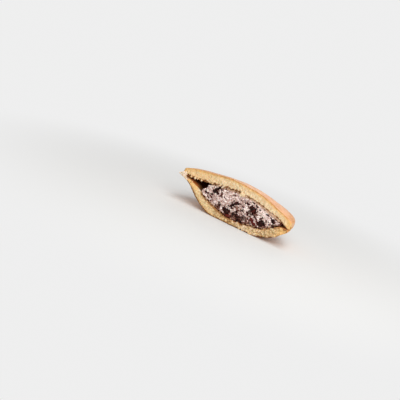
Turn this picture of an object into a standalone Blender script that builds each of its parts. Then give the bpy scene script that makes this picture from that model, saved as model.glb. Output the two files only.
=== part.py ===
"""Half a dorayaki: two round griddle cakes with a filling of whipped cream and cooked red beans,
cut through the middle and lying on its lower cake.

The cut face is on the -Y side and runs along X. The lower cake rests on Z = 0.
"""
import math
import random

import bmesh
import bpy
from mathutils import Euler, Vector, noise

MM = 0.001

# ---- Driving dimensions -------------------------------------------------------------------------
# Plan radius of each cake towards its left tip, its right tip and its back.
UPPER_RADII = {"left": 45.2 * MM, "right": 46.0 * MM, "back": 44.5 * MM}
LOWER_RADII = {"left": 48.6 * MM, "right": 45.0 * MM, "back": 43.6 * MM}
FILLING_RADII = {"left": 28.6 * MM, "right": 37.6 * MM, "back": 33.0 * MM}

# Heights in mm of the skins above the table, at equal steps from the middle of the cake to its rim.
# The lower cake is pressed flat where its outer skin would sink below the table.
UPPER_OUTER = {
    "left": (31.3, 31.2, 29.9, 28.6, 27.4, 26.0),
    "right": (31.3, 30.6, 29.5, 26.9, 24.0, 22.0),
    "back": (31.3, 30.8, 29.5, 27.2, 24.3, 21.8),
}
UPPER_INNER = {
    "left": (24.6, 23.8, 22.4, 21.1, 20.1, 19.0),
    "right": (24.6, 24.0, 22.8, 20.4, 18.1, 12.2),
    "back": (24.6, 24.2, 23.0, 21.1, 18.9, 16.4),
}
LOWER_INNER = {
    "left": (3.8, 5.9, 9.0, 13.0, 17.2, 20.4),
    "right": (3.8, 3.9, 5.4, 7.3, 13.5, 15.2),
    "back": (3.8, 4.2, 5.0, 7.4, 11.8, 15.6),
}
LOWER_OUTER = {
    "left": (-0.8, -0.7, 1.6, 7.3, 15.2, 18.8),
    "right": (-0.8, -0.8, -0.3, 1.4, 4.6, 11.9),
    "back": (-0.8, -0.8, -0.6, 0.4, 4.6, 10.2),
}
SPREAD_LEFT = 8.0 * MM      # how much less the filling reaches out at its top than at its bottom
GAP = 0.35 * MM             # clearance between touching pieces

RIM_ROUNDNESS = 5           # exponent of the rounded rims: higher is blunter
BACK_LIFT = 0.8 * MM        # how far the upper rim gapes at the back
RIM_WAVE = 0.45 * MM        # unevenness of the upper rim's height
OUTLINE_WAVE = 0.5 * MM     # unevenness of each cake's round outline

CRUMB_RELIEF = 0.30 * MM    # cut faces of the cakes
CRUMB_GRAIN = 2.6 * MM
CREAM_RELIEF = 0.75 * MM    # cut face of the filling
CREAM_GRAIN = 4.2 * MM
CUT_RECESS = 0.5 * MM       # how far the filling's cut face lies behind the cakes'

# Cells of each piece along X, along Y and through its thickness.
CAKE_CELLS = (48, 12, 6)
FILLING_CELLS = (34, 8, 10)

# Beans that show in the cut: X and Z of the middle, length, width, and the turn of the long axis.
BEANS = (
    (15.6, 16.4, 7.2, 5.4, -50),
    (9.9, 8.7, 6.0, 4.6, 15),
    (14.3, 8.1, 4.8, 3.4, 30),
    (-3.6, 7.6, 7.0, 3.6, -38),
    (1.4, 15.6, 5.8, 4.2, 40),
    (-15.4, 19.0, 5.4, 3.8, 25),
    (25.1, 11.3, 6.0, 4.8, 60),
    (18.2, 9.5, 4.8, 3.0, -25),
    (32.4, 14.9, 5.8, 3.4, -28),
    (5.0, 7.3, 4.8, 3.4, 70),
    (-11.2, 11.6, 3.8, 2.8, 30),
    (20.4, 18.2, 3.4, 2.6, -35),
)
BEAN_STAND_OUT = 0.25       # share of a bean's width that stands out of the cream
BEAN_SEED = 7

SKIN_COLOUR = (0.72, 0.34, 0.12, 1.0)
LOWER_SKIN_COLOUR = (0.62, 0.27, 0.08, 1.0)
CREAM_COLOUR = (0.55, 0.42, 0.40, 1.0)


def along(values, share):
    """Height at a share (0 to 1) of the way out to the rim, on a Catmull-Rom curve through values."""
    last = len(values) - 1
    place = min(max(share, 0.0), 1.0) * last
    i = min(int(place), last - 1)
    t = place - i
    before = values[i - 1] if i > 0 else values[1]
    after = values[i + 2] if i + 2 <= last else 2 * values[last] - values[last - 1]
    a, b = values[i], values[i + 1]
    return 0.5 * (
        2 * a
        + (b - before) * t
        + (2 * before - 5 * a + 4 * b - after) * t * t
        + (3 * a - before - 3 * b + after) * t ** 3
    )


def side_shares(angle):
    """How much the left, right and back profiles count in a direction; the three add up to 1."""
    c = math.cos(angle)
    return {"left": min(c, 0.0) ** 2, "right": max(c, 0.0) ** 2, "back": 1 - c * c}


def skin_height(profile, share, angle):
    return MM * sum(k * along(profile[side], share) for side, k in side_shares(angle).items())


def reach(radii, angle):
    """Plan radius in a direction; away from the cut the outline is slightly uneven."""
    back = side_shares(angle)["back"]
    wave = OUTLINE_WAVE * back * math.sin(3 * angle + 2 * radii["left"] / UPPER_RADII["left"])
    return wave + sum(k * radii[side] for side, k in side_shares(angle).items())


def rim_lift(share, angle):
    """The upper cake's uneven rim, which gapes a little at the back."""
    back = side_shares(angle)["back"]
    wave = RIM_WAVE * math.sin(5 * angle + 0.8) + BACK_LIFT * (0.6 + 0.4 * math.sin(3 * angle))
    return back * wave * share ** 4


def upper_outer(share, angle):
    return skin_height(UPPER_OUTER, share, angle) + rim_lift(share, angle)


def upper_inner(share, angle):
    return skin_height(UPPER_INNER, share, angle) + rim_lift(share, angle)


def lower_inner(share, angle):
    return skin_height(LOWER_INNER, share, angle)


def lower_outer(share, angle):
    """The skin that meets the table: where it would sink below, it is pressed flat."""
    return max(skin_height(LOWER_OUTER, share, angle), 0.0)


def polar(x, y):
    return math.hypot(x, y), math.atan2(y, x)


def round_off(share, level):
    """Bends the rectangle of share (0 to 1) by level (-1 to 1) into one with a rounded rim."""
    n = RIM_ROUNDNESS
    out = share * (1 - abs(level) ** n / 2) ** (1 / n)
    up = level * (1 - abs(share) ** n / 2) ** (1 / n)
    return out, up


def half_disc(u, v):
    """The rectangle -1..1 by 0..1 bent into a half disc: (distance from the middle, direction)."""
    return polar(u * math.sqrt(1 - v * v / 2), v * math.sqrt(1 - u * u / 2))


def grid_block(cells):
    """A cube from (-1, 0, -1) to (1, 1, 1) as a mesh, each direction cut into its number of cells."""
    mesh = bmesh.new()
    bmesh.ops.create_cube(mesh, size=2.0)
    for axis, count in enumerate(cells):
        edges = [
            e for e in mesh.edges
            if abs(e.verts[0].co[axis] - e.verts[1].co[axis]) > 1e-6
        ]
        bmesh.ops.subdivide_edges(mesh, edges=edges, cuts=count - 1, use_grid_fill=True)
    for vert in mesh.verts:
        vert.co.y = (vert.co.y + 1) / 2
    return mesh


def relief(place, grain, height):
    """Uneven height of a cut surface at a place."""
    scaled = place / grain
    return height * (noise.noise(scaled) + 0.6 * noise.noise(2.3 * scaled + Vector((7, 3, 5))))


def add_object(name, mesh, colour, roughness):
    data = bpy.data.meshes.new(name)
    mesh.normal_update()
    mesh.to_mesh(data)
    mesh.free()
    data.shade_smooth()
    data.set_sharp_from_angle(angle=math.radians(40))
    material = bpy.data.materials.new(name)
    material.use_nodes = True
    shader = material.node_tree.nodes["Principled BSDF"]
    shader.inputs["Base Color"].default_value = colour
    shader.inputs["Roughness"].default_value = roughness
    data.materials.append(material)
    return bpy.data.objects.new(name, data)


def make_cake(name, radii, outer, inner, colour):
    """One cake: a slab bent between its inner and outer skins, with a blunt rim and a crumbly cut."""
    mesh = grid_block(CAKE_CELLS)
    for vert in mesh.verts:
        u, v, w = vert.co
        on_cut = v < 1e-6
        share, angle = half_disc(u, v)
        share, level = round_off(share, w)
        top, bottom = outer(share, angle), inner(share, angle)
        radius = share * reach(radii, angle)
        height = bottom + (top - bottom) * (level + 1) / 2
        vert.co = Vector((radius * math.cos(angle), radius * math.sin(angle), height))
        if on_cut:
            vert.co.y = relief(vert.co, CRUMB_GRAIN, CRUMB_RELIEF)
    return add_object(name, mesh, colour, 0.6)


def share_of(radii, x, y):
    radius, angle = polar(x, y)
    return radius / reach(radii, angle), angle


def make_filling_core():
    """The cream, which fills the space between the cakes' inner skins."""
    mesh = grid_block(FILLING_CELLS)
    for vert in mesh.verts:
        u, v, w = vert.co
        on_cut = v < 1e-6
        share, angle = half_disc(u, v)
        share, level = round_off(share, w)
        radius = share * reach(FILLING_RADII, angle)
        x, y = radius * math.cos(angle), radius * math.sin(angle)
        left = side_shares(angle)["left"] * share
        x += SPREAD_LEFT * left * (level + 1) / 2
        floor = lower_inner(*share_of(LOWER_RADII, x, y)) + GAP
        ceiling = upper_inner(*share_of(UPPER_RADII, x, y)) - GAP
        vert.co = Vector((x, y, floor + (ceiling - floor) * (w + 1) / 2))
        if on_cut:
            vert.co.y = CUT_RECESS + relief(vert.co, CREAM_GRAIN, CREAM_RELIEF)
    return add_object("filling", mesh, CREAM_COLOUR, 0.5)


def make_bean(x, z, length, width, turn, dice):
    """A plump bean lying partly in the cream's cut face."""
    mesh = bmesh.new()
    bmesh.ops.create_uvsphere(mesh, u_segments=10, v_segments=7, radius=0.5)
    tilt = Euler((0, math.radians(90 - turn) + math.pi, math.radians(dice.uniform(-12, 12))))
    for vert in mesh.verts:
        vert.co = Vector((vert.co.x * width, vert.co.y * width, vert.co.z * length)) * MM
        vert.co.rotate(tilt)
        vert.co += Vector((x * MM, CUT_RECESS + width * MM * (0.5 - BEAN_STAND_OUT), z * MM))
    return add_object("bean", mesh, CREAM_COLOUR, 0.5)


def make_filling():
    """The cream with its beans joined on by one Boolean union."""
    filling = make_filling_core()
    bpy.context.scene.collection.objects.link(filling)
    beans = bpy.data.collections.new("beans")
    bpy.context.scene.collection.children.link(beans)
    dice = random.Random(BEAN_SEED)
    for bean in BEANS:
        beans.objects.link(make_bean(*bean, dice))
    union = filling.modifiers.new("beans", "BOOLEAN")
    union.operation = "UNION"
    union.operand_type = "COLLECTION"
    union.collection = beans
    union.solver = "EXACT"
    bpy.context.view_layer.objects.active = filling
    filling.select_set(True)
    bpy.ops.object.modifier_apply(modifier=union.name)
    for bean in list(beans.objects):
        bpy.data.objects.remove(bean)
    bpy.data.collections.remove(beans)
    bpy.context.scene.collection.objects.unlink(filling)
    return filling


def stand_on_origin(objects):
    """Moves the meshes so that the origin is under the middle of their common box, on the table."""
    corners = [v.co for o in objects for v in o.data.vertices]
    low = Vector(min(c[axis] for c in corners) for axis in range(3))
    high = Vector(max(c[axis] for c in corners) for axis in range(3))
    shift = Vector((-(low.x + high.x) / 2, -(low.y + high.y) / 2, -low.z))
    for obj in objects:
        for vert in obj.data.vertices:
            vert.co += shift


def main():
    for obj in list(bpy.data.objects):
        bpy.data.objects.remove(obj)
    pieces = [
        make_cake("upper_cake", UPPER_RADII, upper_outer, upper_inner, SKIN_COLOUR),
        make_cake("lower_cake", LOWER_RADII, lower_inner, lower_outer, LOWER_SKIN_COLOUR),
        make_filling(),
    ]
    stand_on_origin(pieces)
    dorayaki = bpy.data.collections.new("dorayaki_half")
    bpy.context.scene.collection.children.link(dorayaki)
    for piece in pieces:
        dorayaki.objects.link(piece)


main()
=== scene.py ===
"""The looks of half a dorayaki: two griddle cakes with a filling of whipped cream and red beans.

The cut face is on the -Y side. Places on it are given in millimetres as X from the middle of the
upper cake and Z above the table.
"""
import math
import random
from types import SimpleNamespace

import bmesh
import bpy
import numpy as np
from mathutils import Euler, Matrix, Quaternion, Vector, noise
from mathutils.bvhtree import BVHTree
from mathutils.kdtree import KDTree


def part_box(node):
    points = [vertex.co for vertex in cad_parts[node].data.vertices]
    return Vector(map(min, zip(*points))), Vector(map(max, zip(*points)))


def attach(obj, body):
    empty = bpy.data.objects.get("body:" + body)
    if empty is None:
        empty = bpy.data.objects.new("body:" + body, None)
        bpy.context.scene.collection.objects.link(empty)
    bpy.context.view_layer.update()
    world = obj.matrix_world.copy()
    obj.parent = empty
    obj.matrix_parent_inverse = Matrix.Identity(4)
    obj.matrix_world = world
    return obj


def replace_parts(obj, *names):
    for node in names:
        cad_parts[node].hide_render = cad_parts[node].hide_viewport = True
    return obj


MM = 0.001

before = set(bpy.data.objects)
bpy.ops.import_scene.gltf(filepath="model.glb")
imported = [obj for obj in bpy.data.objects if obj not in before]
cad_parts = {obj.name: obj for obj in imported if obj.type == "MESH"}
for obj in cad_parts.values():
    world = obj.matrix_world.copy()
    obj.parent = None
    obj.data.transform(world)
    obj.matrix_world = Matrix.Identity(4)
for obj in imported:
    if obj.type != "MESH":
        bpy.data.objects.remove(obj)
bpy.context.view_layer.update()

# ---- Camera ----
PICTURE_SIZE = 400
CAMERA_AZIMUTH = 20.0
CAMERA_ELEVATION = 11.0
CAMERA_ROLL = 21.0          # the half leans in the picture, so the camera leans instead
CAMERA_DISTANCE = 0.595
CAMERA_LENS = 75.0
SENSOR = 36.0
AIM = (2.4, 18.6)           # a place on the cut face
AIM_PIXEL = (238.4, 201)    # where AIM shows in the picture

# ---- Light and floor ----
BACKDROP = (0.86, 0.86, 0.86)
FILL_STRENGTH = 0.40
FLOOR_COLOUR = (0.74, 0.74, 0.735)
FLOOR_RADIUS = 4.0
FLOOR_FADE = (0.07, 0.24)   # the floor's light melts into the backdrop between these distances
# Soft lights: name, place, width, power and colour.
LIGHTS = (
    ("key", (0.32, -0.50, 0.46), 0.75, 4.5, (1.0, 0.985, 0.96)),
    ("top_light", (0.10, -0.05, 0.60), 0.30, 0.9, (1, 1, 1)),
    ("back_light", (-0.15, 0.55, 0.32), 0.40, 0.7, (1, 1, 1)),
)
LIGHT_AIM = Vector((0, 0, 0.015))

# ---- Cut face ----
CUT_UNEVENNESS = 0.35 * MM  # how far the solids' crumbs stand out of the cut plane
LOW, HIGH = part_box("upper_cake")
MIDDLE_X = (LOW.x + HIGH.x) / 2
CUT_Y = LOW.y + CUT_UNEVENNESS


def on_cut(x, z, depth=0.0):
    """A point on the cut face, or that many mm behind it."""
    return Vector((MIDDLE_X + x * MM, CUT_Y + depth * MM, z * MM))


# ---- Mesh helpers ----
def smooth_step(low, high, values):
    t = np.clip((values - low) / (high - low), 0.0, 1.0)
    return t * t * (3 - 2 * t)


def ramp(start, end, distances):
    """Goes smoothly from 0 to 1 between two distances that are given in mm."""
    return smooth_step(start * MM, end * MM, distances)


def points_of(mesh, what="co"):
    """The vertices' places, or their normals, as rows."""
    rows = np.empty(len(mesh.vertices) * 3)
    mesh.vertices.foreach_get(what, rows)
    return rows.reshape(-1, 3)


def move_points(mesh, points):
    mesh.vertices.foreach_set("co", points.ravel())
    mesh.update()


def store(mesh, name, values):
    """Keeps one number for each vertex, for the material to read."""
    attribute = mesh.attributes.new(name, "FLOAT", "POINT")
    attribute.data.foreach_set("value", np.asarray(values, dtype=np.float32))


def link(obj):
    bpy.context.scene.collection.objects.link(obj)
    return obj


def evaluated_mesh(obj):
    """The mesh with the object's modifiers applied; the object itself is removed."""
    depsgraph = bpy.context.evaluated_depsgraph_get()
    mesh = bpy.data.meshes.new_from_object(obj.evaluated_get(depsgraph))
    bpy.data.objects.remove(obj)
    return mesh


def add_smoothing(obj, rounds, group=""):
    smooth = obj.modifiers.new("smooth", "SMOOTH")
    smooth.factor = 0.5
    smooth.iterations = rounds
    smooth.vertex_group = group


def remeshed(mesh, voxel, smoothing):
    """One skin of even small faces round everything in the mesh."""
    obj = link(bpy.data.objects.new("remesh", mesh))
    remesh = obj.modifiers.new("remesh", "REMESH")
    remesh.mode = "VOXEL"
    remesh.voxel_size = voxel
    add_smoothing(obj, smoothing)
    return evaluated_mesh(obj)


def joined(name, shapes):
    """One mesh of several (points, faces) shapes."""
    points = np.concatenate([p for p, _ in shapes])
    faces = []
    start = 0
    for shape_points, shape_faces in shapes:
        faces += [[i + start for i in face] for face in shape_faces]
        start += len(shape_points)
    mesh = bpy.data.meshes.new(name)
    mesh.from_pydata(points.tolist(), [], faces)
    mesh.validate()
    return mesh


def noise_at(points, size, seed):
    """Smooth noise from about -1 to 1, with features of the given size in metres."""
    shift = Vector((13.1, 7.7, 3.3)) * seed
    return np.array([noise.noise(Vector(p) / size + shift) for p in points])


def layered_noise(points, *layers):
    """Noise of several sizes added up; each layer is its height, its size and its seed."""
    return sum(height * noise_at(points, size, seed) for height, size, seed in layers)


def cells_at(points, size, seed):
    """Distance to the nearest of randomly strewn centres, in cell sizes, and that centre's own draw."""
    shift = Vector((5.9, 2.3, 8.1)) * seed
    found = [noise.voronoi(Vector(p) / size + shift) for p in points]
    near = np.array([d[0] for d, _ in found])
    draw = np.array([noise.cell(c[0] * 7.31) for _, c in found])
    return near, draw


def tree_of(mesh, faces=None):
    """A search tree of the mesh, or of some of its faces."""
    corners = [v.co.copy() for v in mesh.vertices]
    return BVHTree.FromPolygons(corners, faces or [tuple(f.vertices) for f in mesh.polygons])


SOLIDS = {node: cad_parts[node].data for node in ("lower_cake", "upper_cake", "filling")}
TREES = {node: tree_of(solid) for node, solid in SOLIDS.items()}
CAKE_TREES = (TREES["lower_cake"], TREES["upper_cake"])


def distances_to(tree, points):
    return np.array([tree.find_nearest(Vector(p))[3] for p in points])


def add_piece(name, mesh, materials):
    """A finished piece of the object, shaded smooth."""
    mesh.name = name
    mesh.materials.clear()
    for material in materials:
        mesh.materials.append(material)
    mesh.shade_smooth()
    piece = link(bpy.data.objects.new(name, mesh))
    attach(piece, "root")
    return piece


# ---- Node helpers ----
def add_node(tree, kind, inputs=(), **settings):
    """A shader node; an input is a value, another node's socket or the name of stored numbers."""
    node = tree.nodes.new(kind)
    for name, value in settings.items():
        setattr(node, name, value)
    for name, value in dict(inputs).items():
        if isinstance(value, str):
            value = stored(tree, value)
        if isinstance(value, bpy.types.NodeSocket):
            tree.links.new(value, node.inputs[name])
        else:
            node.inputs[name].default_value = value
    return node


def millimetres(tree):
    """The piece's own coordinates, in millimetres."""
    place = add_node(tree, "ShaderNodeTexCoord").outputs["Object"]
    scaled = add_node(tree, "ShaderNodeVectorMath", {0: place, "Scale": 1 / MM}, operation="SCALE")
    return scaled.outputs[0]


def stored(tree, name):
    return add_node(tree, "ShaderNodeAttribute", attribute_name=name).outputs["Fac"]


def noise_texture(tree, place, size, detail=3.0, roughness=0.55, distortion=0.0):
    """Noise from 0 to 1 with features of the given size in mm."""
    inputs = {
        "Vector": place, "Scale": 1 / size, "Detail": detail,
        "Roughness": roughness, "Distortion": distortion,
    }
    return add_node(tree, "ShaderNodeTexNoise", inputs).outputs["Fac"]


def cell_texture(tree, place, size):
    """Distance to the nearest cell's centre, for cells of the given size in mm."""
    return add_node(tree, "ShaderNodeTexVoronoi", {"Vector": place, "Scale": 1 / size}).outputs["Distance"]


def remap(tree, value, low, high, new_low=0.0, new_high=1.0):
    """Turns low to high into new_low to new_high, smoothly."""
    inputs = enumerate((value, low, high, new_low, new_high))
    return add_node(tree, "ShaderNodeMapRange", inputs, interpolation_type="SMOOTHSTEP").outputs["Result"]


def calculate(tree, operation, a, b=0.0):
    return add_node(tree, "ShaderNodeMath", {0: a, 1: b}, operation=operation).outputs[0]


def paint(tree, colour, *coats):
    """The colour with coats laid over it in turn, each given as its share and its colour."""
    for share, coat in coats:
        below, above = (c if isinstance(c, bpy.types.NodeSocket) else (*c, 1.0) for c in (colour, coat))
        mix = add_node(tree, "ShaderNodeMix", {0: share, 6: below, 7: above}, data_type="RGBA")
        colour = mix.outputs[2]
    return colour


def bumps(tree, height, distance):
    """A bump of the given depth in mm from a height between 0 and 1."""
    inputs = {"Height": height, "Distance": distance * MM, "Strength": 1.0}
    return add_node(tree, "ShaderNodeBump", inputs).outputs["Normal"]


def new_material(name, roughness, **sockets):
    """A material, its nodes and its Principled shader."""
    material = bpy.data.materials.new(name)
    material.use_nodes = True
    shader = material.node_tree.nodes["Principled BSDF"]
    shader.inputs["Roughness"].default_value = roughness
    for socket, value in sockets.items():
        shader.inputs[socket.replace("_", " ")].default_value = value
    return material, material.node_tree, shader


def feed(shader, **sockets):
    """Links other nodes' sockets to the shader's inputs."""
    for name, socket in sockets.items():
        shader.id_data.links.new(socket, shader.inputs[name.replace("_", " ")])


# ---- Cake materials ----
SKIN = (0.76, 0.35, 0.125)
SKIN_DARK = (0.62, 0.245, 0.075)
SKIN_RIM = (0.86, 0.545, 0.285)
SKIN_BROWN = (0.50, 0.235, 0.080)
INNER_LINE = (0.33, 0.135, 0.042)
GOLDEN = (0.80, 0.50, 0.20)
# painted light: the lower cake's inner skin where light reaches into the left mouth
PAINTED_LIT_SKIN = (1.0, 0.33, 0.085)
INNER_SKIN = (0.84, 0.42, 0.16)
# painted shade: the inner skins' colour deep in the gap between the cakes
PAINTED_SHADE_SKIN = (0.095, 0.018, 0.003)
TIP = (0.92, 0.80, 0.66)
TIP_DARK = (0.72, 0.50, 0.32)
DASH = (0.23, 0.085, 0.026)
SKIN_GLOSS = 0.45           # specular level of the browned skin outside
SPONGE_GLOSS = 0.0          # and of all the rest of a cake


def sponge_colour(tree, place, fine, look):
    """The cut's crumb with its darker grain, patches and painted shade in its pores."""
    coarse = noise_texture(tree, place, 3.4, 3)
    patches = noise_texture(tree, place, 3.2, 2, 0.5, 0.5)
    pale = paint(tree, look["edge"], (remap(tree, "outer_depth", 1, 3.2), look["middle"]))
    return paint(
        tree, look["grain"],
        (remap(tree, fine, 0.37, 0.60), pale),
        (remap(tree, coarse, 0.35, 0.7, 0, 0.3), pale),
        (remap(tree, patches, 0.50, 0.66, 0, look["patchy"]), look["grain"]),
        ("even", pale),
        # painted shade in the pores
        ("painted_pore_shade", look["pore_shade"]),
    )


def edged_colour(tree, place, sponge, look):
    """The sponge with its crust along the outer skin and a brown line along the inner one."""
    wander = remap(tree, noise_texture(tree, place, 1.6, 2), 0.3, 0.7, -0.3, 0.3)
    outer_edge = calculate(tree, "ADD", "outer_depth", wander)
    inner_edge = calculate(tree, "ADD", "inner_depth", calculate(tree, "MULTIPLY", wander, 1.6))
    crust = paint(tree, look["crust"], ("brown", look["crust_dark"]))
    width = look["inner_line_width"]
    seam = remap(tree, inner_edge, 0.3 * width, 1.2 * width, look["inner_line"], 0)
    return paint(
        tree, sponge,
        (remap(tree, outer_edge, 0.7, 1.7, 0.95, 0), crust),
        (remap(tree, outer_edge, 0.3, 0.9, 0.9, 0), look["crust_line"]),
        ("golden", GOLDEN),
        (calculate(tree, "MULTIPLY", seam, "seam"), INNER_LINE),
        # stain near the filling, and painted shade at the lower cake's right inner edge
        ("stain_and_shade", INNER_LINE),
        ("dash", DASH),
    )


def skin_colour(tree, place):
    """Browned skin outside, and lighter skin inside, with painted light where light reaches it and painted
    shade that darkens it further in and towards the filling.
    """
    broad = noise_texture(tree, place, 9, 4, 0.6)
    speckles = noise_texture(tree, place, 0.9, 3, 0.6)
    browned = paint(
        tree, SKIN_BROWN,
        (remap(tree, broad, 0.35, 0.65, 0, 0.45), SKIN_DARK),
        (remap(tree, speckles, 0.42, 0.72, 0, 0.35), SKIN),
    )
    inner_skin = paint(
        tree, INNER_SKIN,
        (remap(tree, broad, 0.3, 0.7, 0, 0.5), SKIN),
        # painted light where light reaches the lower cake's inner skin
        ("painted_light", PAINTED_LIT_SKIN),
        # painted shade deep between the cakes
        ("painted_shade", PAINTED_SHADE_SKIN),
    )
    nearer = calculate(tree, "SUBTRACT", "outer_depth", "inner_depth")
    return paint(
        tree, SKIN,
        (remap(tree, broad, 0.35, 0.72), SKIN_DARK),
        (remap(tree, speckles, 0.45, 0.75, 0, 0.3), SKIN_RIM),
        (remap(tree, "rim", 0, 1, 0, 0.7), SKIN_RIM),
        ("brown", browned),
        (remap(tree, nearer, -0.8, 0.8), inner_skin),
    )


def make_cake_material(name, look, gloss):
    """Sponge at the cut and skin elsewhere."""
    material, tree, shader = new_material(
        name, 0.6, Subsurface_Weight=0.1, Subsurface_Scale=1.0 * MM, Specular_IOR_Level=gloss
    )
    place = millimetres(tree)
    stretch = {0: place, 1: (1.0, 1.0, 0.5)}
    columns = add_node(tree, "ShaderNodeVectorMath", stretch, operation="MULTIPLY").outputs[0]
    fine = noise_texture(tree, columns, 0.75, 4, 0.62)
    sponge = edged_colour(tree, place, sponge_colour(tree, place, fine, look), look)
    tip = paint(tree, TIP_DARK, (remap(tree, fine, 0.36, 0.66), TIP))
    pores = calculate(tree, "MULTIPLY", cell_texture(tree, place, 0.45), fine)
    feed(
        shader,
        Base_Color=paint(tree, skin_colour(tree, place), ("cut", sponge), ("tip", tip)),
        Roughness=remap(tree, "cut", 0, 1, 0.42, 0.9),
        Normal=bumps(tree, pores, 0.12),
    )
    return material


# ---- Filling materials ----
CREAM = (0.99, 0.845, 0.785)
CREAM_MID = (0.55, 0.385, 0.34)
CREAM_DARK = (0.22, 0.105, 0.085)
PASTE = (0.105, 0.030, 0.020)
PASTE_LIGHT = (0.35, 0.185, 0.145)
TAN = (0.42, 0.235, 0.115)
TAN_DARK = (0.27, 0.080, 0.020)
# the core at the cut: bean paste, darkened further by painted shade in the gaps between the strands
CORE = (0.19, 0.075, 0.048)
CORE_DARK = (0.055, 0.013, 0.008)
BEAN_SKIN = (0.013, 0.003, 0.002)
BEAN_SKIN_RED = (0.105, 0.016, 0.011)
BEAN_FLESH = (0.22, 0.14, 0.115)
BEAN_FLESH_RED = (0.42, 0.20, 0.15)
BEAN_FLESH_DARK = (0.07, 0.042, 0.036)


def make_cream_material():
    """Whipped cream, each curl tinted more or less by bean paste."""
    material, tree, shader = new_material(
        "cream", 0.42, Subsurface_Weight=0.08, Subsurface_Scale=0.4 * MM, Specular_IOR_Level=0.4
    )
    place = millimetres(tree)
    blotches = noise_texture(tree, place, 1.4, 4, 0.6, 0.6)
    streaks = noise_texture(tree, place, 0.7, 3, 0.6, 0.4)
    clouds = noise_texture(tree, place, 3.4, 2, 0.5)
    tint = calculate(tree, "ADD", "tone", remap(tree, blotches, 0.36, 0.66, -0.26, 0.34))
    tint = calculate(tree, "ADD", tint, remap(tree, clouds, 0.35, 0.65, -0.05, 0.22))
    colour = paint(
        tree, CREAM,
        (remap(tree, tint, 0, 0.55), CREAM_MID),
        (remap(tree, tint, 0.5, 1.05), CREAM_DARK),
        (remap(tree, streaks, 0.49, 0.63, 0, 0.8), PASTE_LIGHT),
        (remap(tree, "border", 0, 1, 0, 0.8), TAN),
    )
    feed(shader, Base_Color=colour, Normal=bumps(tree, streaks, 0.30))
    return material


def make_paste_material():
    """Bean paste, mottled dark and light."""
    material, tree, shader = new_material("bean_paste", 0.42, Specular_IOR_Level=0.0)
    grain = noise_texture(tree, millimetres(tree), 1.1, 4, 0.62, 0.4)
    colour = paint(tree, PASTE, (remap(tree, grain, 0.36, 0.66), PASTE_LIGHT))
    feed(shader, Base_Color=colour, Normal=bumps(tree, grain, 0.2))
    return material


def make_core_material():
    """Dark behind the strands at the cut, partly bean paste and partly painted shade in the gaps between
    them, and like the strands further back.
    """
    material, tree, shader = new_material("cream_core", 0.6, Specular_IOR_Level=0.0)
    grain = noise_texture(tree, millimetres(tree), 1.6, 4, 0.62, 0.4)
    share = remap(tree, grain, 0.36, 0.66)
    colour = paint(
        tree, CORE_DARK,
        (share, CORE),
        (remap(tree, "pale", 0, 1, 0, 0.4), CREAM_MID),
        ("border", TAN_DARK),
        ("behind", paint(tree, CREAM_MID, (share, CREAM))),
    )
    feed(shader, Base_Color=colour, Normal=bumps(tree, grain, 0.25))
    return material


def make_bean_material():
    """Dark moist skin, and floury flesh where a bean is cut or torn."""
    material, tree, shader = new_material("bean", 0.28, Specular_IOR_Level=0.11)
    place = millimetres(tree)
    grain = noise_texture(tree, place, 0.6, 3)
    blotches = remap(tree, noise_texture(tree, place, 1.8, 3), 0.48, 0.76)
    floury = remap(tree, grain, 0.35, 0.7)
    skin = paint(tree, BEAN_SKIN, (blotches, BEAN_SKIN_RED), ("red", BEAN_SKIN_RED))
    flesh = paint(tree, BEAN_FLESH, ("red", BEAN_FLESH_RED), (floury, BEAN_FLESH_DARK))
    feed(
        shader,
        Base_Color=paint(tree, skin, ("flesh", flesh)),
        Roughness=remap(tree, "flesh", 0, 1, 0.20, 0.6),
        Normal=bumps(tree, grain, 0.08),
    )
    return material


# ---- Cakes ----
# Colours of the cut: the sponge's middle, its edge under the crust, its darker grain, the painted shade in
# its pores, the crust, the crust where it is browner, and its outermost line. Then how patchy the grain
# is, how strong and how many mm wide the inner skin's brown line is, how large the pores are, how coarse
# the crumb is at COARSENESS_X, and by how many mm the outer and the inner edge are ragged.
UPPER_LOOK = {
    "middle": (0.83, 0.665, 0.440),
    "edge": (0.85, 0.61, 0.32),
    "grain": (0.66, 0.45, 0.23),
    "pore_shade": (0.50, 0.27, 0.11),
    "crust": (0.80, 0.47, 0.205),
    "crust_dark": (0.50, 0.25, 0.080),
    "crust_line": (0.50, 0.25, 0.090),
    "patchy": 0.2,
    "inner_line": 0.8,
    "inner_line_width": 1.0,
    "pores": 1.3,
    "coarseness": (0.9, 0.8, 0.6),
    "ragged": (0.20, 0.60),
}
LOWER_LOOK = {
    "middle": (0.87, 0.66, 0.375),
    "edge": (0.84, 0.61, 0.32),
    "grain": (0.35, 0.20, 0.075),
    "pore_shade": (0.17, 0.075, 0.022),
    "crust": (0.46, 0.235, 0.085),
    "crust_dark": (0.46, 0.235, 0.085),
    # the lower cake's underside edge: browned skin, darkened further by painted contact shadow
    "crust_line": (0.17, 0.070, 0.024),
    "patchy": 0.9,
    "inner_line": 0.85,
    "inner_line_width": 1.4,
    "pores": 1.2,
    "coarseness": (0.7, 2.1, 0.7),
    "ragged": (0.30, 0.30),
}
COARSENESS_X = (-25, 25, 41)
SPONGE_VOXEL = 0.335 * MM
RIM_SMOOTHING = 40          # rounds of smoothing that round the rims
SKIN_RELIEF = (0.12 * MM, 7 * MM, 1)    # height, size and seed of the skins' unevenness
SINK = 0.1 * MM             # how far the underside may press into the table
RAGGED_REACH = 1.6 * MM     # how far behind the cut the skins are ragged
RAGGED_LAYERS = ((0.55, 1.3 * MM, 5), (0.45, 0.6 * MM, 6))
CUT_LAYERS = ((0.20, 2.2 * MM, 3), (0.14, 0.8 * MM, 4))     # the cut's unevenness, in mm
CUT_NORMAL = -0.6           # a face that points this much along -Y belongs to the cut
CUT_REACH = 1.5 * MM        # if it lies no further behind it than this
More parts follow.
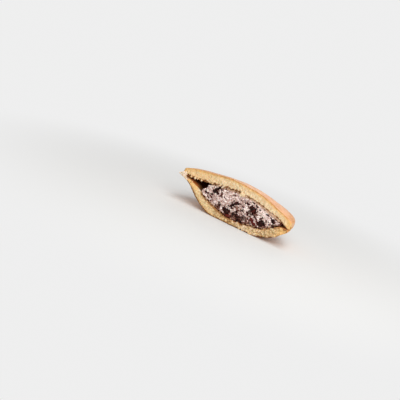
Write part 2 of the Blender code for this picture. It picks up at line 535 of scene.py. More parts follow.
# Pores in the cut: cell size, depth and the share of its cell that a pore takes.
PORES = ((1.7 * MM, 0.55 * MM, 0.40), (1.0 * MM, 0.45 * MM, 0.44))
COLUMN_STRETCH = 1.3        # pores are this much taller than wide
DASH_DEPTH = 0.7 * MM
TIP_X = (-39.5, -42.0)      # the lower cake's thin pale tip is left of these, in mm from the middle
FILLING_REACH = 1.6 * MM       # the cakes are stained this near the filling, and their inner skins carry painted shade there


def skin_trees(node, outer_side):
    """Search trees of a cake's outer skin and inner skin."""
    mesh = SOLIDS[node]
    faces = {"cut": [], "outer": [], "inner": []}
    for face in mesh.polygons:
        at_cut = all(mesh.vertices[i].co.y < CUT_Y + 1.2 * MM for i in face.vertices)
        kind = "cut" if at_cut else "outer" if face.normal.z * outer_side > 0 else "inner"
        faces[kind].append(tuple(face.vertices))
    return tree_of(mesh, faces["outer"]), tree_of(mesh, faces["inner"])


def pore_depth(points, scale):
    """How deep pores go at points of the cut face."""
    squeezed = points * (1, 1, 1 / COLUMN_STRETCH) / scale
    depth = np.zeros(len(points))
    for seed, (size, deep, share) in enumerate(PORES):
        near, draw = cells_at(squeezed, size, seed + 1)
        hole = share * (0.35 + 0.65 * draw)
        depth += deep * draw * smooth_step(0.0, 1.0, 1 - near / hole)
    return depth


def inside_share(node, points):
    """0 at a cake's round rim, 1 a few mm inside it."""
    low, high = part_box(node)
    right = points[:, 0] > MIDDLE_X
    across = (points[:, 0] - MIDDLE_X) / np.where(right, high.x - MIDDLE_X, MIDDLE_X - low.x)
    out = np.hypot(across, (points[:, 1] - CUT_Y) / (high.y - CUT_Y))
    return smooth_step(0.99, 0.93, out)


def dashes(points, edge_distance, width, period, share, seed):
    """Broken dark bits along an edge of the cut: 1 on a bit, 0 off it; share says how much is dark."""
    along = noise_at(points * (1, 0, 0.5), period, seed)
    on = smooth_step(-0.12, 0.12, along + share - 0.5)
    return on * smooth_step(width, 0.4 * width, edge_distance)


def dark_dents(points, edge_distance, spots):
    """Dark dents in an edge of the cut, at spots given as X and width in mm: 1 in a dent, 0 off it."""
    dark = np.zeros(len(points))
    for x, width in spots:
        across = (points[:, 0] - MIDDLE_X - x * MM) / (0.5 * width * MM)
        inward = edge_distance / (0.6 * width * MM)
        dark = np.maximum(dark, smooth_step(1.15, 0.55, np.hypot(across, inward)))
    return dark


def rounded(mesh):
    """Softens a cake's rim; the cut and what is near it stay sharp."""
    obj = link(bpy.data.objects.new("rounded", mesh))
    group = obj.vertex_groups.new(name="skin")
    for index, weight in enumerate(ramp(1.0, 4.0, points_of(mesh)[:, 1] - CUT_Y)):
        if weight > 0:
            group.add([index], float(weight), "REPLACE")
    add_smoothing(obj, RIM_SMOOTHING, group.name)
    return evaluated_mesh(obj)


def survey(node, outer_side, mesh):
    """Where a cake's vertices are, and which belong to crumbs, to the cut and to the skins."""
    at = SimpleNamespace(points=points_of(mesh), normals=points_of(mesh, "normal"))
    at.x = at.points[:, 0] - MIDDLE_X
    at.behind = at.points[:, 1] - CUT_Y
    at.outer, at.inner = (distances_to(tree, at.points) for tree in skin_trees(node, outer_side))
    at.loose = ramp(0.15, 0.35, distances_to(TREES[node], at.points))
    at.soaked = smooth_step(FILLING_REACH, 0.4 * FILLING_REACH, distances_to(TREES["filling"], at.points))
    at.cut = (at.normals[:, 1] < CUT_NORMAL) & (at.behind < CUT_REACH) & (at.loose < 0.5)
    at.skin = ~at.cut & (at.loose < 0.5)
    return at


def cake_shades(node, outer_side, at):
    """What the cake material reads at each vertex, by name."""
    upper = outer_side > 0
    mouth = ramp(-22, -28, at.x)        # left of here the cakes don't touch the filling
    # The lower cake's inner side at the left: painted light on its skin where light reaches in, its golden
    # edge and its pale tip.
    lit = ramp(-30.5, -34.5, at.x) * ramp(12, 5, at.behind) * (not upper)
    lip = ramp(-29, -32, at.x) * ramp(-42, -40, at.x) * (not upper)
    tip = ramp(*TIP_X, at.x) * ramp(5, 0, at.behind) * (not upper)
    # Its brown inner edge near the right end: painted shade of the dark gap between the cakes there.
    corner = ramp(32, 36, at.x) * ramp(39, 36.5, at.x) * ramp(1.8, 0.5, at.inner) * (not upper)
    # Painted shade: the inner skins darken further in, where the gap between the cakes is in shade, but
    # less at the warm right end.
    gap = 0.85 * mouth * ramp(1.5, 3.5, at.behind)
    deep = np.maximum(ramp(4, 12, at.behind), gap) * inside_share(node, at.points)
    warm_end = 1 - 0.65 * ramp(35, 40, at.x)
    if upper:
        golden = 0.8 * ramp(40, 43, at.x) + 0.4 * ramp(-12, -30, at.x)
    else:
        # at the lower cake's right end the golden colour is partly painted glow of light shining through
        # the thin sponge
        golden = 0.9 * ramp(35, 42, at.x) + 0.45 * ramp(-31, -37, at.x)
        golden = np.maximum(golden, 0.85 * lip * ramp(2.0, 0.5, at.inner))
    bright = np.zeros(len(at.points))
    crumbs = at.loose > 0
    bright[crumbs] = smooth_step(-0.1, 0.3, noise_at(at.points[crumbs], 1.8 * MM, 9)) * at.loose[crumbs]
    bright *= ramp(38, 30, at.x) * (1 - lip)
    return {
        "outer_depth": at.outer / MM + 5 * at.loose,
        "inner_depth": at.inner / MM + 5 * at.loose,
        "cut": np.maximum(at.cut, at.loose),
        "rim": smooth_step(0.75, 0.25, np.abs(at.normals[:, 2])) * at.skin,
        # painted shade deep between the cakes and where the inner skins meet the filling
        "painted_shade": np.maximum(deep, 0.8 * at.soaked) * at.skin * warm_end * (1 - lit),
        "tip": np.maximum(tip, 0.6 * bright),
        # stain near the filling, and painted shade at the lower cake's right inner edge
        "stain_and_shade": np.maximum(0.6 * at.soaked * (1 - at.loose * upper), 0.7 * corner),
        "golden": golden,
        "even": 0.5 * ramp(-4, -20, at.x) * (not upper),
        "brown": 0.8 * ramp(28, -22, at.x) * ramp(15, 5, at.behind) * upper,
        "seam": ramp(42, 38, at.x) if upper else 1 - mouth,
        # painted light on the lower cake's inner skin in the left mouth
        "painted_light": lit * ramp(-43, -39, at.x),
    }


def make_cake(node, outer_side, lumps, line, look):
    """A griddle cake with a crumbly cut, a faintly uneven skin and ragged edges.

    The lumps are crumbs that cling to the cut, and line(points, outer, inner) says where an edge
    shows dark bits.
    """
    solid = SOLIDS[node]
    shapes = [(points_of(solid), [tuple(f.vertices) for f in solid.polygons]), *lumps]
    mesh = rounded(remeshed(joined(node, shapes), SPONGE_VOXEL, 1))
    at = survey(node, outer_side, mesh)
    coarse = np.interp(at.x / MM, COARSENESS_X, look["coarseness"])
    dark = line(at.points, at.outer, at.inner) * np.maximum(at.cut, 0.7 * at.loose)
    pores = np.zeros(len(at.points))
    pores[at.cut] = pore_depth(at.points[at.cut], look["pores"])
    pores *= ramp(0.2, 1.0, np.minimum(at.outer, at.inner)) * coarse
    uneven = np.zeros(len(at.points))
    uneven[~at.skin] = layered_noise(at.points[~at.skin], *CUT_LAYERS)
    uneven *= coarse
    for name, values in cake_shades(node, outer_side, at).items():
        store(mesh, name, values)
    store(mesh, "dash", dark)
    # painted shade in the pores, from their depth and the cut's unevenness
    store(mesh, "painted_pore_shade", np.clip(pores / (0.60 * MM) - uneven * 1.5, 0, 1))

    moved = at.points + at.normals * layered_noise(at.points, SKIN_RELIEF)[:, None] * at.skin[:, None]
    ragged = layered_noise(at.points, *RAGGED_LAYERS)
    ragged *= np.exp(-np.clip(at.behind, 0, None) / RAGGED_REACH)
    ragged *= coarse * np.where(at.outer < at.inner, *look["ragged"]) * MM
    moved += at.normals * ragged[:, None] * ~at.cut[:, None]
    moved[at.cut, 1] += pores[at.cut] + uneven[at.cut] * MM + dark[at.cut] * DASH_DEPTH
    moved[:, 2] = np.maximum(moved[:, 2], -SINK)
    move_points(mesh, moved)
    name = node.replace("cake", "sponge")
    materials = [
        make_cake_material(name, look, SPONGE_GLOSS),
        make_cake_material(name + "_skin", look, SKIN_GLOSS),
    ]
    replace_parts(add_piece(name, mesh, materials), node)
    browned = at.skin & (at.outer < at.inner)
    for face in mesh.polygons:
        face.material_index = int(all(browned[i] for i in face.vertices))


# ---- Scattered lumps ----
def unit_ball(subdivisions):
    mesh = bmesh.new()
    bmesh.ops.create_icosphere(mesh, subdivisions=subdivisions, radius=1.0)
    points = np.array([v.co for v in mesh.verts])
    faces = [[v.index for v in f.verts] for f in mesh.faces]
    mesh.free()
    return points, faces


SMALL_BALL = unit_ball(2)
BALL = unit_ball(3)
FINE_BALL = unit_ball(4)


def lump(ball, centre, radii, turn, roughness, seed):
    """An uneven ball: (points, faces)."""
    points, faces = ball
    uneven = 1 + roughness * noise_at(points, 0.7, seed)
    turned = (points * uneven[:, None] * np.array(radii)) @ np.array(turn.to_matrix()).T
    return turned + np.array(centre), faces


def any_turn(dice):
    return Euler([dice.uniform(0, 2 * math.pi) for _ in range(3)])


# ---- Crumbs along the cut ----
# Loose crumbs at the left tip: X, Z and size.
TIP_CRUMBS = (
    (-46.6, 20.4, 1.5), (-45.2, 21.0, 2.0), (-43.3, 20.6, 2.2), (-44.9, 19.3, 2.0), (-42.8, 18.6, 1.7),
    (-43.6, 21.8, 1.6),
)
# Thicker sponge along the lower cake's inner edge in the left mouth: X, Z and size.
LIP = (
    (-40.2, 17.6, 1.7), (-39.2, 17.2, 1.9), (-38.1, 16.8, 2.1), (-37.0, 16.4, 2.2), (-35.9, 15.9, 2.3),
    (-34.8, 15.5, 2.3), (-33.7, 14.9, 2.3), (-32.6, 14.4, 2.3), (-31.5, 13.9, 2.3), (-30.4, 13.4, 2.4),
    (-29.3, 13.0, 2.4), (-28.2, 12.5, 2.4), (-27.1, 12.0, 2.2), (-26.0, 11.5, 1.9),
)
# Loose crumbs along the upper cake: X, Z and size.
CRUMB_SPOTS = (
    (2.6, 24.3, 1.8), (4.2, 24.1, 2.4), (2.9, 22.9, 1.8), (5.4, 23.5, 1.5), (-20.9, 22.2, 1.3),
    (-38.4, 20.4, 1.6), (-35.0, 20.6, 1.7), (-32.8, 20.8, 1.2), (-14.7, 23.2, 1.4),
    (-29.8, 20.7, 1.5), (-12.8, 22.5, 1.5),
)
# Rows of crumbs along the edges of a cake's cut: whether it is the bottom edge, the row's start, end
# and spacing, the crumbs' sizes, and how far they may lie above the edge.
UPPER_ROWS = (
    (True, -34, 8, 1.3, (0.7, 1.4), (-0.4, 0.5)),
    (True, 8, 34, 2.6, (0.5, 1.0), (-0.2, 0.3)),
)
LOWER_ROWS = (
    (True, -22, 8, 2.8, (0.5, 1.1), (0.4, 1.2)),
    (True, 8, 38, 1.4, (1.0, 2.2), (1.0, 2.2)),
    (False, -20, 6, 2.4, (0.5, 1.1), (-0.5, 0.0)),
    (False, 6, 34, 1.4, (0.9, 2.0), (-1.5, 0.1)),
)
# Crumbs strewn over the lower cake's cut: start, end, their number and their sizes.
LOWER_FIELD = (2, 41, 60, (1.1, 2.3))
# Dark dents along the upper cake's inner edge and the lower cake's outer edge: X and width.
DARK_DENTS = (
    (-41.2, 2.4), (-39.6, 2.2), (-38.0, 2.0), (-36.4, 1.8), (-34.0, 1.4), (-31.6, 2.2), (-28.8, 1.6),
    (-27.2, 3.0), (-25.3, 1.6), (-21.9, 1.2), (-19.4, 2.6), (-16.2, 2.2), (-13.4, 1.3), (-9.4, 2.6),
    (-7.9, 1.6), (-4.4, 1.6), (-1.8, 2.4), (0.8, 2.0), (8.9, 1.8), (12.0, 1.8), (17.5, 1.8), (21.0, 2.0),
    (25.3, 1.6), (29.3, 2.0), (33.6, 1.8), (36.6, 1.6),
)
LOWER_DARK_DENTS = ((31.3, 3.0), (25.6, 1.4))
UPPER_SEED, LOWER_SEED = 23, 29


def skin_height(node, x, upward):
    """Height of a cake's first skin just behind the cut, looking up or down, or None."""
    start = Vector((x, CUT_Y + 1.0 * MM, -50 * MM if upward else 80 * MM))
    hit = TREES[node].ray_cast(start, Vector((0, 0, 1 if upward else -1)))[0]
    return None if hit is None else hit.z


def crumb(x, z, size, depth, dice):
    """A crumb that clings to the cut, so many mm behind it; the size is in mm too."""
    radii = [size * MM * dice.uniform(0.35, 0.60) for _ in range(3)]
    centre = (x, CUT_Y + depth * MM, z)
    return lump(SMALL_BALL, centre, radii, any_turn(dice), 0.6, dice.uniform(0, 60))


def placed_crumbs(spots, depth, dice):
    return [crumb(MIDDLE_X + x * MM, z * MM, size, depth, dice) for x, z, size in spots]


def crumb_rows(node, rows, dice, bare=()):
    """Crumbs strewn along edges of a cake's cut, but not on bare places, given as X and width."""
    shapes = []
    for upward, start, end, spacing, sizes, rise in rows:
        x = start
        while x < end:
            z = skin_height(node, MIDDLE_X + x * MM, upward)
            size = dice.uniform(*sizes)
            lift = dice.uniform(*rise)
            covered = any(abs(x - bare_x) < 0.5 * width + 0.3 for bare_x, width in bare)
            if z is not None and not covered:
                height = max(z + lift * MM, 0.45 * size * MM)
                shapes.append(crumb(MIDDLE_X + x * MM, height, size, dice.uniform(-0.25, 0.15), dice))
            x += dice.uniform(0.5, 1.5) * spacing
    return shapes


def face_crumbs(node, start, end, count, sizes, dice):
    """Crumbs strewn over a cake's cut face."""
    shapes = []
    for _ in range(count):
        x = dice.uniform(start, end)
        low, high = (skin_height(node, MIDDLE_X + x * MM, upward) for upward in (True, False))
        share = dice.uniform(0.1, 0.9)
        size = dice.uniform(*sizes)
        if low is not None:
            shapes.append(crumb(MIDDLE_X + x * MM, low + share * (high - low), size, 0.0, dice))
    return shapes


def upper_crumbs():
    dice = random.Random(UPPER_SEED)
    return crumb_rows("upper_cake", UPPER_ROWS, dice, DARK_DENTS) + placed_crumbs(CRUMB_SPOTS, -0.5, dice)


def lower_crumbs():
    dice = random.Random(LOWER_SEED)
    lumps = crumb_rows("lower_cake", LOWER_ROWS, dice) + face_crumbs("lower_cake", *LOWER_FIELD, dice)
    return lumps + placed_crumbs(TIP_CRUMBS, 0.1, dice) + placed_crumbs(LIP, 1.1, dice)


def upper_line(points, outer, inner):
    """Dark dents along the upper cake's inner edge, and a thin broken line between them."""
    line = dashes(points, inner, 0.6 * MM, 1.4 * MM, 0.55, 31)
    return np.maximum(dark_dents(points, inner, DARK_DENTS), 0.7 * line)


def lower_line(points, outer, inner):
    """Brown skin along the lower cake's outer edge, darkened further by painted contact shadow, and in
    places along its inner edge.
    """
    from_middle = points[:, 0] - MIDDLE_X
    inner_share = np.interp(from_middle / MM, (-29, -26, -16, -12), (0, 0.55, 0.5, 0.15))
    # darkest along the bottom on the right: browned skin and painted contact shadow
    outer_share = np.interp(from_middle / MM, (5, 18, 33, 37), (0.45, 1.0, 1.0, 0.0))
    inside = dashes(points, inner, 0.8 * MM, 1.2 * MM, inner_share, 33)
    outside = dashes(points, outer, 0.8 * MM, 1.0 * MM, outer_share, 37)
    dark_outer = np.maximum(dark_dents(points, outer, LOWER_DARK_DENTS), outside)
    return np.maximum(dark_outer, inside) * ramp(*reversed(TIP_X), from_middle)


# ---- Filling ----
# Beans in the cut face: X, Z, length, width, turn in degrees, and how much flesh shows (0 to 1).
BEANS = (
    (14.8, 17.4, 6.0, 4.8, -40, 0),
    (13.6, 14.2, 4.6, 2.8, -20, 0.75),
    (10.0, 8.9, 5.4, 4.2, 15, 0.65),
    (16.4, 10.4, 3.8, 2.4, -10, 0),
    (-4.2, 8.2, 7.4, 3.6, -17, 0),
    (-1.4, 5.4, 5.0, 2.6, 4, 0),
    (1.8, 8.4, 3.0, 2.1, 95, 0),
    (24.4, 10.9, 5.8, 4.9, 60, 0),
    (18.8, 8.4, 4.4, 2.2, -14, 0),
    (32.1, 15.7, 4.6, 3.3, -55, 0),
    (5.4, 8.2, 3.8, 2.6, -25, 0),
    (7.8, 5.5, 4.6, 2.4, 0, 0),
    (-10.6, 11.2, 3.2, 2.4, 30, 0.5),
    (3.2, 13.2, 3.8, 2.6, -60, 0.7),
)
RED_BEANS = (3, 5, 8, 13)       # these ones' skins are redder
# Torn bean skins: width, redness from 0 to 1, and the places in X and Z that each runs through.
SKINS = (
    (1.9, 0, (-16.6, 19.3), (-15.3, 20.5), (-13.6, 21.8)),
    (1.7, 0, (-18.1, 18.0), (-16.9, 17.5), (-15.4, 17.7), (-13.8, 17.2)),
    (1.3, 0.2, (-22.9, 15.1), (-21.5, 14.6)),
    (1.0, 0.3, (-19.2, 15.3), (-17.8, 14.8)),
    (1.7, 0, (-1.6, 12.9), (-0.2, 14.4), (0.9, 16.1), (2.2, 17.2)),
    (1.6, 0, (2.4, 17.2), (3.4, 16.6)),
    (1.0, 0.1, (-1.8, 9.7), (-1.3, 9.0)),
    (1.1, 0.3, (7.0, 16.8), (7.8, 15.9)),
    (1.1, 0, (9.4, 20.0), (10.6, 19.2)),
    (1.0, 0.4, (10.9, 13.7), (12.9, 12.9)),
    (1.2, 0.2, (16.8, 21.0), (17.9, 20.3)),
    (1.5, 0.1, (18.5, 13.0), (19.6, 12.2)),
    (1.0, 0.8, (20.6, 10.6), (21.9, 9.6)),
    (1.0, 0, (27.4, 18.2), (28.0, 18.1)),
    (1.2, 0.6, (27.3, 14.3), (27.5, 13.1)),
    (1.6, 0.2, (32.7, 12.1), (33.5, 12.1)),
    (1.2, 0.3, (13.0, 22.4), (14.6, 21.8)),
)
# Small bits: X, Z and size.
BITS = (
    (9.6, 8.8, 2.0), (-3.5, 4.5, 1.4), (20.2, 18.9, 1.5), (26.1, 18.3, 1.6), (29.6, 17.0, 1.2),
    (31.9, 15.9, 1.6), (-8.3, 16.8, 1.2), (-6.6, 15.0, 1.3), (-11.2, 18.9, 1.5), (-0.6, 12.0, 1.7),
    (3.4, 10.6, 1.6), (8.1, 14.6, 1.2), (11.1, 19.8, 1.4), (16.4, 15.2, 1.4), (21.9, 6.2, 1.7),
    (27.2, 10.3, 1.5), (29.2, 13.9, 1.3), (23.9, 15.2, 1.1), (-17.9, 13.0, 1.5), (-12.8, 20.3, 1.2),
    (-10.1, 10.0, 1.6), (-17.8, 10.4, 1.3), (10.6, 21.4, 1.2), (22.4, 13.4, 1.4), (-3.6, 12.4, 1.1),
    (15.9, 13.9, 1.2), (3.7, 20.2, 1.0), (33.8, 17.6, 1.1), (-19.8, 17.9, 1.1),
)
BIT_RADII = (0.58, 0.30, 0.42)  # for each mm of size
# Where the mix is darker with beans, or paler: X, Z, reach and how much darker.
TONES = (
    (-25.4, 17.4, 2.2, 0.45), (-16.0, 19.0, 2.4, 0.3), (-20.6, 12.9, 1.8, 0.25), (-10.8, 17.6, 1.8, 0.55),
    (31.4, 15.4, 1.6, 0.2), (-16.6, 8.6, 2.0, 0.15), (-11.0, 10.0, 2.4, 0.4), (21.8, 7.4, 1.8, 0.3),
    (-3.0, 6.6, 3.6, 0.5), (-0.4, 15.2, 2.4, 0.3), (0.0, 22.8, 2.5, 0.2), (1.6, 6.7, 2.2, 0.45),
    (6.4, 7.6, 3.4, 0.45), (8.0, 5.4, 3.0, 0.4), (4.8, 13.0, 1.8, 0.2), (9.4, 18.6, 2.2, 0.4),
    (15.0, 9.4, 3.4, 0.5), (15.5, 15.0, 3.0, 0.3), (18.4, 16.7, 2.2, 0.45), (24.2, 9.6, 3.6, 0.35),
    (27.6, 12.0, 1.6, 0.25), (36.8, 15.2, 1.4, 0.4), (34.4, 11.8, 1.6, 0.15), (14.6, 20.6, 1.6, 0.25),
    (-15.0, 15.0, 1.8, -0.35), (-20.4, 18.0, 2.2, -0.4), (-15.6, 11.6, 2.4, -0.18),
    (-14.5, 21.4, 2.2, -0.25), (-8.4, 20.8, 2.2, -0.42), (-6.4, 18.2, 3.4, -0.15), (-8.8, 12.6, 3.2, -0.4),
    (-7.0, 6.4, 1.6, -0.4), (-3.2, 11.6, 2.2, -0.3), (1.2, 11.6, 2.0, -0.3), (3.0, 19.8, 2.2, -0.45),
    (7.6, 21.2, 2.2, -0.35), (9.6, 11.8, 2.4, -0.12), (10.8, 16.0, 2.6, -0.25), (13.4, 23.3, 2.0, -0.45),
    (18.5, 21.7, 2.4, -0.45), (19.4, 11.8, 2.2, -0.4), (17.4, 6.4, 1.8, -0.3), (22.8, 17.5, 4.0, -0.38),
    (27.4, 19.0, 2.6, -0.35), (29.4, 14.4, 2.4, -0.4), (33.2, 14.2, 1.8, -0.3), (31.2, 19.2, 2.0, -0.35),
    (35.0, 17.8, 1.8, -0.3),
)
BORDER = 1.8 * MM           # the mix is browner this near the cakes
UPPER_BORDER_X = (8, 9, 20, 30)             # where the distance to the upper cake counts
UPPER_BORDER_SCALE = (1.0, 1.3, 1.3, 0.8)   # so many times
EDGE = 1.0 * MM             # strands stay low and thin this near a cake
SNUG_START = 9.0 * MM       # but not near the upper cake right of here, from the middle
RIGHT_END = 36.6 * MM       # no strands right of here, from the middle
CORE_RECESS = 1.1 * MM      # how far the core lies behind the cut surface of the solid
CORE_VOXEL = 0.40 * MM
STRAND_VOXEL = 0.21 * MM
STRAND_SPACING = 1.08 * MM
STRAND_TONES = (0.1, 0.4, 0.8)
STRAND_SIZES = (0.70, 0.54, 0.36)   # radii in mm at those tones
STRAND_BALLS = (3, 8)       # the fewest and the most balls in a strand
STRAND_BEND = 0.75          # most radians of turn from ball to ball
MEAN_TONE = 0.48
TONE_SPREAD = 0.38          # how far chance makes a strand darker or paler
PASTE_TONE = 0.70           # strands darker than this are bean paste
CUT_SHOWN = 2.5 * MM        # strands cover the cut and the skin behind it this far in
END_SHOWN = 10.0 * MM       # the left end shows this far in through the mouth
END_START = -18.0 * MM      # the left end begins here, from the middle
PASTE_CLUMP = 4.5 * MM      # size of the patches where bean paste prevails
FILLING_SEED, BEAN_SEED = 11, 5
BEAN_CLEARANCE = 0.88       # strands end this near a bean's middle, as a share of its size


def shown_sites(mesh, dice):
    """Places strewn evenly over the skin of the filling where it shows: (place, normal)."""
    mesh.calc_loop_triangles()
    corners = points_of(mesh)[np.array([t.vertices[:] for t in mesh.loop_triangles])]
    middles = corners.mean(axis=1)
    across = np.cross(corners[:, 1] - corners[:, 0], corners[:, 2] - corners[:, 0])
    areas = np.linalg.norm(across, axis=1) / 2
    normals = across / (2 * areas[:, None] + 1e-20)
    reach = np.where(middles[:, 0] - MIDDLE_X < END_START, END_SHOWN, CUT_SHOWN)
    shown = (middles[:, 1] - CUT_Y < reach) & (normals[:, 1] < 0.5)
    chances = areas * shown
    count = int(chances.sum() / STRAND_SPACING ** 2 * 10)
    picks = dice.choices(range(len(corners)), weights=chances.tolist(), k=count)
    closest = (0.8 * STRAND_SPACING) ** 2
    found = np.empty((0, 3))
    sites = []
    for pick in picks:
        a, b = sorted((dice.random(), dice.random()))
        place = corners[pick].T @ np.array((a, b - a, 1 - b))
        if len(found) and np.min(np.sum((found - place) ** 2, axis=1)) < closest:
            continue
        found = np.vstack((found, place))
        sites.append((Vector(place), Vector(normals[pick])))
    return sites


def places_along(corners, step):
    """Places at equal steps along a line through the corners."""
    places = [corners[0]]
    for (x0, z0), (x1, z1) in zip(corners, corners[1:]):
        count = max(1, round(math.hypot(x1 - x0, z1 - z0) / step))
        places += [(x0 + (x1 - x0) * i / count, z0 + (z1 - z0) * i / count) for i in range(1, count + 1)]
    return places


SPOTS = [*BITS, *((x, z, width) for width, _, *corners in SKINS for x, z in places_along(corners, 0.5))]


def on_a_bean(place, scale):
    """Whether a place lies in front of one of the beans, skins or bits, each grown by the scale."""
    x, z = (place.x - MIDDLE_X) / MM, place.z / MM
    for bean_x, bean_z, length, width, turn, _ in BEANS:
        angle = math.radians(turn)
        along = (x - bean_x) * math.cos(angle) + (z - bean_z) * math.sin(angle)
        across = -(x - bean_x) * math.sin(angle) + (z - bean_z) * math.cos(angle)
        if (2 * along / length) ** 2 + (2 * across / width) ** 2 < scale ** 2:
            return True
    return any(math.hypot(x - spot_x, z - spot_z) < size * 0.55 * scale for spot_x, spot_z, size in SPOTS)


def strand(place, normal, size, lift, dice):
    """A short curl along the filling's skin, as (centre, radius) of balls that run into each other."""
    heading = normal.orthogonal().normalized()
    heading.rotate(Quaternion(normal, dice.uniform(0, 2 * math.pi)))
    bend = dice.uniform(-STRAND_BEND, STRAND_BEND)
    balls = []
    for _ in range(dice.randint(*STRAND_BALLS)):
        if on_a_bean(place, BEAN_CLEARANCE):
            break
        balls.append((place + normal * lift, size))
        ahead = place + heading * (0.75 * size)
        place, normal = TREES["filling"].find_nearest(ahead)[:2]
        heading = (heading - normal * heading.dot(normal)).normalized()
        heading.rotate(Quaternion(normal, bend))
        size *= dice.uniform(0.9, 1.08)
    return balls


def near_the_cakes(points):
    """How near points of the filling are to a cake: 1 beside it, 0 away from it."""
    to_lower, to_upper = (distances_to(cake, points) for cake in CAKE_TREES)
    to_upper *= np.interp((points[:, 0] - MIDDLE_X) / MM, UPPER_BORDER_X, UPPER_BORDER_SCALE)
    return smooth_step(BORDER, 0.4 * BORDER, np.minimum(to_lower, to_upper))


def make_strands(name, strands, attribute, material, dice):
    """One skin round all the strands; each keeps its own number, which the material reads."""
    shapes = []
    numbers = []
    for balls, number in strands:
        for centre, size in balls:
            radii = [size * dice.uniform(0.85, 1.2) for _ in range(3)]
            shapes.append(lump(SMALL_BALL, centre, radii, any_turn(dice), 0.35, dice.uniform(0, 50)))
            numbers.append((centre, number))
    mesh = remeshed(joined(name, shapes), STRAND_VOXEL, 1)
    lookup = KDTree(len(numbers))
    for i, (centre, _) in enumerate(numbers):
        lookup.insert(centre, i)
    lookup.balance()
    store(mesh, attribute, [numbers[lookup.find(v.co)[1]][1] for v in mesh.vertices])
    store(mesh, "border", near_the_cakes(points_of(mesh)))
    roughen(mesh, 0.12, 0.09, 10)
    add_piece(name, mesh, [material])


def roughen(mesh, coarse, fine, seed):
    """Moves a mesh's surface in and out by noise; the heights are in mm."""
    points = points_of(mesh)
    height = layered_noise(points, (coarse, 1.0 * MM, seed), (fine, 0.45 * MM, seed + 1))
    move_points(mesh, points + points_of(mesh, "normal") * (height * MM)[:, None])


def bean_share(place):
    """How much darker than usual the mix is at a place."""
    x, z = (place.x - MIDDLE_X) / MM, place.z / MM
    return sum(
        amount * math.exp(-((x - tone_x) ** 2 + (z - tone_z) ** 2) / reach ** 2)
        for tone_x, tone_z, reach, amount in TONES
    )


def make_core():
    """The darker mix behind the strands, set back so that gaps between them look deep; its dark colour at
    the cut is partly painted shade.
    """
    core = remeshed(SOLIDS["filling"].copy(), CORE_VOXEL, 2)
    points = points_of(core)
    behind = points[:, 1] - CUT_Y
    store(core, "behind", ramp(8, 14, behind))
    store(core, "border", near_the_cakes(points))
    store(core, "pale", smooth_step(0.1, -0.3, np.array([bean_share(Vector(p)) for p in points])))
    points[:, 1] += CORE_RECESS * ramp(4, 2, behind)
    move_points(core, points)
    roughen(core, 0.22, 0.10, 8)
    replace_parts(add_piece("cream_core", core, [make_core_material()]), "filling")


def make_filling():
    """Curls of whipped cream and lumps of bean paste over a darker core."""
    dice = random.Random(FILLING_SEED)
    cream = []
    paste = []
    for number, (place, normal) in enumerate(shown_sites(SOLIDS["filling"], dice)):
        dice = random.Random(number)    # so that a strand's draws leave the next ones as they are
        clump = noise.noise(place / PASTE_CLUMP + Vector((3, 0, 8)))
        tone = MEAN_TONE + bean_share(place) + 0.2 * clump + dice.uniform(-TONE_SPREAD, TONE_SPREAD)
        to_lower, to_upper = (cake.find_nearest(place)[3] for cake in CAKE_TREES)
        if to_lower < BORDER:
            tone += 0.25
        size = dice.uniform(0.8, 1.2) * float(np.interp(tone, STRAND_TONES, STRAND_SIZES)) * MM
        lift = dice.uniform(-0.25, 0.45) * MM
        snug = place.x - MIDDLE_X > SNUG_START
        if (to_lower if snug else min(to_lower, to_upper)) < EDGE:
            size *= 0.75
            lift = -0.4 * MM
        if place.x - MIDDLE_X > RIGHT_END:
            continue
        if tone > PASTE_TONE:
            paste.append((strand(place, normal, size, lift - 0.2 * MM, dice), 1.0))
        else:
            cream.append((strand(place, normal, size, lift, dice), max(tone - 0.12, 0)))
    make_core()
    make_strands("cream_strands", cream, "tone", make_cream_material(), dice)
    make_strands("bean_paste", paste, "tone", make_paste_material(), dice)


def bean_shape(x, z, length, width, turn, flesh, dice):
    """A cooked bean half sunk in the cream; flesh is how far the knife has opened it."""
    points, faces = FINE_BALL
    seed = dice.uniform(0, 40)
    uneven = 1 + layered_noise(points, (0.14, 0.9, seed), (0.07, 0.35, seed + 1))
    shaped = points * uneven[:, None] * (width / 2, width / 2, length / 2)
    rotation = np.array(Euler((0, math.radians(90 - turn), 0)).to_matrix())
    shaped = shaped @ rotation.T
    sunk = width * (0.20 + 0.24 * flesh)
    shaped[:, 1] += sunk
    opened = np.zeros(len(shaped))
    if flesh > 0:
        level = sunk - width * 0.5 * (1 - 0.75 * flesh)
        slope = level + 0.12 * (shaped[:, 0] * 0.6 + shaped[:, 2] * 0.4)
        deep = slope - shaped[:, 1]
        opened = smooth_step(0.15, 0.4, deep)
        rough = 0.22 * noise_at(shaped, 0.8, 3)
        shaped[:, 1] = np.where(deep > 0, slope + rough, shaped[:, 1])
    return (shaped * MM + np.array(on_cut(x, z)), faces), opened


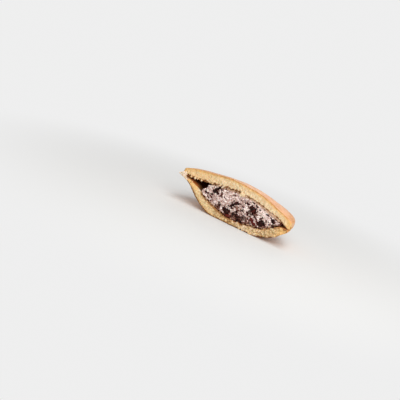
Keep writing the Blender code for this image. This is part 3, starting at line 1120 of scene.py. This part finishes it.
def make_beans():
    """The beans and scraps of bean skin that show in the cut."""
    dice = random.Random(BEAN_SEED)
    material = make_bean_material()
    shapes, opened = zip(*(bean_shape(*bean, dice) for bean in BEANS))
    mesh = joined("beans", shapes)
    store(mesh, "flesh", np.concatenate(opened))
    red = [float(i in RED_BEANS) for i in range(len(BEANS))]
    store(mesh, "red", np.repeat(red, len(FINE_BALL[0])))
    add_piece("beans", mesh, [material])
    skins = [
        ([(on_cut(x, z, -0.15), width / 2 * MM) for x, z in places_along(corners, 0.35 * width)], red)
        for width, red, *corners in SKINS
    ]
    make_strands("bean_skins", skins, "red", material, dice)
    bits = []
    for x, z, size in BITS:
        radii = [size * share * MM for share in BIT_RADII]
        bits.append(lump(BALL, on_cut(x, z, 0.1), radii, any_turn(dice), 0.55, dice.uniform(0, 60)))
    mesh = joined("bean_bits", bits)
    store(mesh, "flesh", np.zeros(len(mesh.vertices)))
    store(mesh, "red", np.repeat([dice.uniform(0, 0.5) for _ in bits], len(BALL[0])))
    add_piece("bean_bits", mesh, [material])


# ---- Surroundings ----
def add_camera():
    """The camera looks at AIM, leans, and turns so that AIM shows at AIM_PIXEL."""
    azimuth, elevation, roll = map(math.radians, (CAMERA_AZIMUTH, CAMERA_ELEVATION, CAMERA_ROLL))
    back = Vector((
        math.sin(azimuth) * math.cos(elevation),
        -math.cos(azimuth) * math.cos(elevation),
        math.sin(elevation),
    ))
    pixels = CAMERA_LENS / SENSOR * PICTURE_SIZE
    half = PICTURE_SIZE / 2
    towards = Vector((AIM_PIXEL[0] - half, half - AIM_PIXEL[1], -pixels)).normalized()
    level = (-back).to_track_quat("-Z", "Y")
    lean = Quaternion((0, 0, 1), roll)
    turn = Vector((0, 0, -1)).rotation_difference(towards)
    data = bpy.data.cameras.new("camera")
    data.lens = CAMERA_LENS
    data.sensor_width = SENSOR
    data.clip_start = 0.01
    camera = link(bpy.data.objects.new("camera", data))
    camera.location = on_cut(*AIM) + back * CAMERA_DISTANCE
    camera.rotation_mode = "QUATERNION"
    camera.rotation_quaternion = level @ lean @ turn.inverted()
    bpy.context.scene.camera = camera


def add_lights():
    """Soft lights that face the object's middle."""
    for name, place, width, power, colour in LIGHTS:
        data = bpy.data.lights.new(name, "AREA")
        data.shape = "DISK"
        data.size = width
        data.energy = power
        data.color = colour
        lamp = link(bpy.data.objects.new(name, data))
        lamp.location = place
        lamp.rotation_euler = (LIGHT_AIM - lamp.location).to_track_quat("-Z", "Y").to_euler()


def add_world():
    world = bpy.data.worlds.new("backdrop")
    bpy.context.scene.world = world
    world.use_nodes = True
    tree = world.node_tree
    tree.nodes.clear()
    seen = add_node(tree, "ShaderNodeBackground", {"Color": (*BACKDROP, 1), "Strength": 1.0})
    lighting = add_node(tree, "ShaderNodeBackground", {"Color": (1, 1, 1, 1), "Strength": FILL_STRENGTH})
    ray = add_node(tree, "ShaderNodeLightPath").outputs["Is Camera Ray"]
    mix = add_node(tree, "ShaderNodeMixShader", {0: ray, 1: lighting.outputs[0], 2: seen.outputs[0]})
    add_node(tree, "ShaderNodeOutputWorld", {"Surface": mix.outputs[0]})


def add_floor():
    """A pale floor that melts into the backdrop away from the object."""
    mesh = bmesh.new()
    bmesh.ops.create_circle(mesh, cap_ends=True, segments=96, radius=FLOOR_RADIUS)
    data = bpy.data.meshes.new("floor")
    mesh.to_mesh(data)
    mesh.free()
    material, tree, shader = new_material(
        "floor", 1.0, Base_Color=(*FLOOR_COLOUR, 1), Specular_IOR_Level=0.0
    )
    glow = add_node(tree, "ShaderNodeEmission", {"Color": (*BACKDROP, 1), "Strength": 1.0})
    place = add_node(tree, "ShaderNodeTexCoord").outputs["Object"]
    away = add_node(tree, "ShaderNodeVectorMath", {0: place}, operation="LENGTH").outputs["Value"]
    share = remap(tree, away, *FLOOR_FADE)
    mix = add_node(tree, "ShaderNodeMixShader", {0: share, 1: shader.outputs[0], 2: glow.outputs[0]})
    feed(tree.nodes["Material Output"], Surface=mix.outputs[0])
    data.materials.append(material)
    link(bpy.data.objects.new("floor", data))


bpy.context.scene.view_settings.view_transform = "Standard"
add_camera()
add_world()
add_lights()
add_floor()
make_cake("upper_cake", 1, upper_crumbs(), upper_line, UPPER_LOOK)
make_cake("lower_cake", -1, lower_crumbs(), lower_line, LOWER_LOOK)
make_filling()
make_beans()
